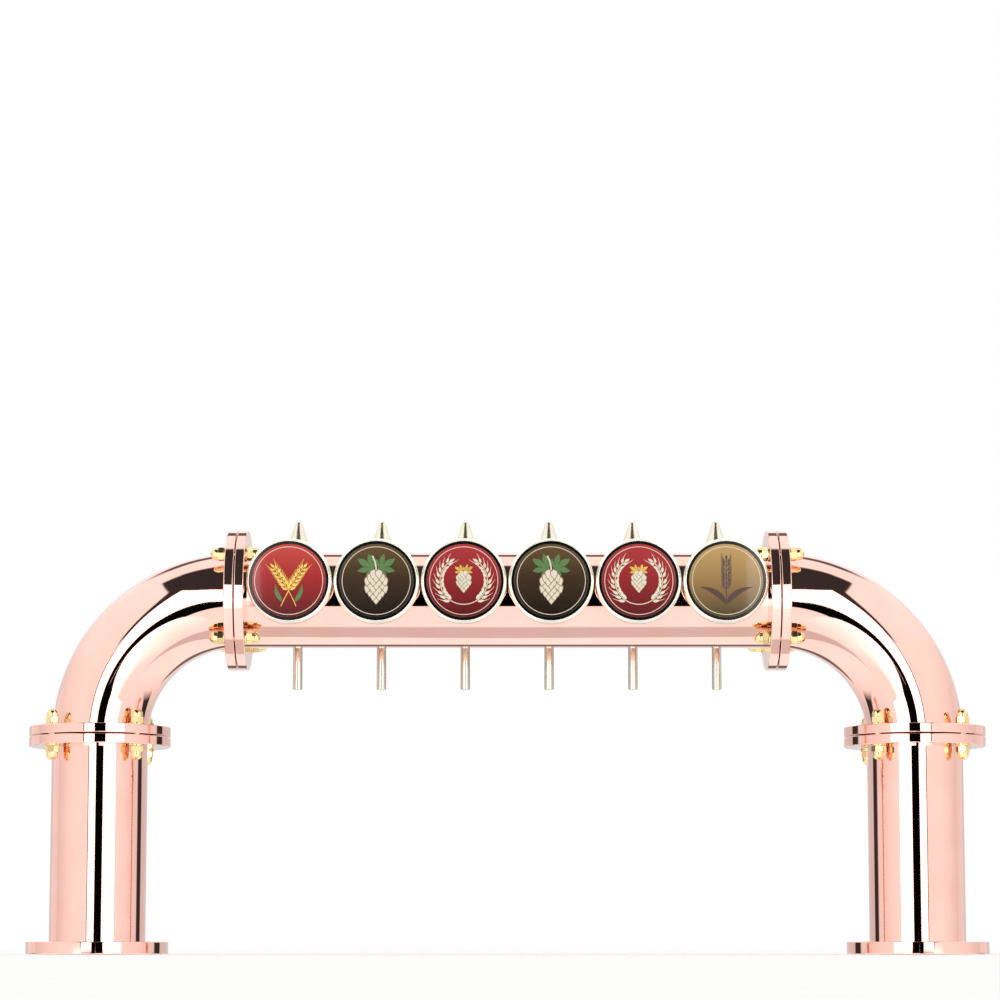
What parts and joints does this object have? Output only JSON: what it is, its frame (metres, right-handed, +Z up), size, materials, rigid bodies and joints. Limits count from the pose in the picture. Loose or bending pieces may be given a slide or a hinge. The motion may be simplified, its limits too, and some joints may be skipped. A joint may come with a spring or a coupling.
{
  "type": "bridge beer tower",
  "caption": "Copper flanged-pipe bridge beer tower with round medallions on the customer's side and lever taps with straight spouts on the bartender's side.",
  "frame": {"origin": "on the bar top, midway between the two column axes", "axes": "+X along the bridge to the customer's right, +Y to the bartender's side, +Z up"},
  "size_m": [1.02, 0.172, 0.474],
  "materials": {
    "polished_copper": "mirror-polished rose copper plating on brass",
    "polished_brass": "polished brass",
    "bright_nickel": "warm bright nickel plating on brass",
    "plain_nickel": "plain nickel plating on brass",
    "stainless_steel": "turned stainless steel",
    "gasket_rubber": "black rubber sheet",
    "black_ring": "gloss black",
    "print_red": "glossy printed disc",
    "print_brown": "glossy printed disc",
    "print_crimson": "glossy printed disc",
    "print_gold": "glossy printed disc",
    "clear_hose": "milky hose",
    "fitting_plastic": "grey push-fit plastic"
  },
  "bodies": {
    "tower": {"base_flange_left": "polished_copper", "column_left": "polished_copper", "column_flange_left": "polished_copper", "elbow_foot_flange_left": "polished_copper", "elbow_left": "polished_copper", "elbow_head_flange_left": "polished_copper", "bridge_flange_left": "polished_copper", "base_flange_right": "polished_copper", "column_right": "polished_copper", "column_flange_right": "polished_copper", "elbow_foot_flange_right": "polished_copper", "elbow_right": "polished_copper", "elbow_head_flange_right": "polished_copper", "bridge_flange_right": "polished_copper", "bridge_tube": "polished_copper", "flange_gaskets": "gasket_rubber", "flange_studs": "polished_brass", "flange_washers": "polished_brass", "dome_nuts": "polished_brass", "medallion_bezels": "bright_nickel", "shank_saddles": "bright_nickel", "coupling_nuts": "bright_nickel", "tap_bonnets": "bright_nickel", "tap_spouts": "bright_nickel", "medallion_cups": "plain_nickel", "medallion_stems": "plain_nickel", "medallion_nuts": "plain_nickel", "tap_shanks": "plain_nickel", "shank_nuts": "plain_nickel", "medallion_rings": "black_ring", "medallion_print_red": "print_red", "medallion_print_brown": "print_brown", "medallion_print_crimson": "print_crimson", "medallion_print_gold": "print_gold", "tap_body_1": "bright_nickel", "tap_body_2": "bright_nickel", "tap_body_3": "bright_nickel", "tap_body_4": "bright_nickel", "tap_body_5": "bright_nickel", "tap_body_6": "bright_nickel", "beer_lines": "clear_hose", "line_fittings": "fitting_plastic"},
    "handle_1": {"tap_lever_1": "stainless_steel", "tap_handle_1": "bright_nickel"},
    "valve_1": {"valve_stem_1": "stainless_steel"},
    "handle_2": {"tap_lever_2": "stainless_steel", "tap_handle_2": "bright_nickel"},
    "valve_2": {"valve_stem_2": "stainless_steel"},
    "handle_3": {"tap_lever_3": "stainless_steel", "tap_handle_3": "bright_nickel"},
    "valve_3": {"valve_stem_3": "stainless_steel"},
    "handle_4": {"tap_lever_4": "stainless_steel", "tap_handle_4": "bright_nickel"},
    "valve_4": {"valve_stem_4": "stainless_steel"},
    "handle_5": {"tap_lever_5": "stainless_steel", "tap_handle_5": "bright_nickel"},
    "valve_5": {"valve_stem_5": "stainless_steel"},
    "handle_6": {"tap_lever_6": "stainless_steel", "tap_handle_6": "bright_nickel"},
    "valve_6": {"valve_stem_6": "stainless_steel"}
  },
  "joints": [
    {"name": "tap_1_pull", "type": "hinge", "parent": "tower", "child": "handle_1", "pos_m": [-0.23, 0.081, 0.388], "axis": [-1, 0, 0], "range_deg": [0, 28]},
    {"name": "tap_1_valve", "type": "slide", "parent": "tower", "child": "valve_1", "axis": [0, -1, 0], "range_m": [0, 0.0054]},
    {"name": "tap_2_pull", "type": "hinge", "parent": "tower", "child": "handle_2", "pos_m": [-0.138, 0.081, 0.388], "axis": [-1, 0, 0], "range_deg": [0, 28]},
    {"name": "tap_2_valve", "type": "slide", "parent": "tower", "child": "valve_2", "axis": [0, -1, 0], "range_m": [0, 0.0054]},
    {"name": "tap_3_pull", "type": "hinge", "parent": "tower", "child": "handle_3", "pos_m": [-0.046, 0.081, 0.388], "axis": [-1, 0, 0], "range_deg": [0, 28]},
    {"name": "tap_3_valve", "type": "slide", "parent": "tower", "child": "valve_3", "axis": [0, -1, 0], "range_m": [0, 0.0054]},
    {"name": "tap_4_pull", "type": "hinge", "parent": "tower", "child": "handle_4", "pos_m": [0.046, 0.081, 0.388], "axis": [-1, 0, 0], "range_deg": [0, 28]},
    {"name": "tap_4_valve", "type": "slide", "parent": "tower", "child": "valve_4", "axis": [0, -1, 0], "range_m": [0, 0.0054]},
    {"name": "tap_5_pull", "type": "hinge", "parent": "tower", "child": "handle_5", "pos_m": [0.138, 0.081, 0.388], "axis": [-1, 0, 0], "range_deg": [0, 28]},
    {"name": "tap_5_valve", "type": "slide", "parent": "tower", "child": "valve_5", "axis": [0, -1, 0], "range_m": [0, 0.0054]},
    {"name": "tap_6_pull", "type": "hinge", "parent": "tower", "child": "handle_6", "pos_m": [0.23, 0.081, 0.388], "axis": [-1, 0, 0], "range_deg": [0, 28]},
    {"name": "tap_6_valve", "type": "slide", "parent": "tower", "child": "valve_6", "axis": [0, -1, 0], "range_m": [0, 0.0054]}
  ],
  "couplings": [
    {"joint": "tap_1_valve", "follows": "tap_1_pull", "m_per_rad": 0.0107},
    {"joint": "tap_2_valve", "follows": "tap_2_pull", "m_per_rad": 0.0107},
    {"joint": "tap_3_valve", "follows": "tap_3_pull", "m_per_rad": 0.0107},
    {"joint": "tap_4_valve", "follows": "tap_4_pull", "m_per_rad": 0.0107},
    {"joint": "tap_5_valve", "follows": "tap_5_pull", "m_per_rad": 0.0107},
    {"joint": "tap_6_valve", "follows": "tap_6_pull", "m_per_rad": 0.0107}
  ]
}
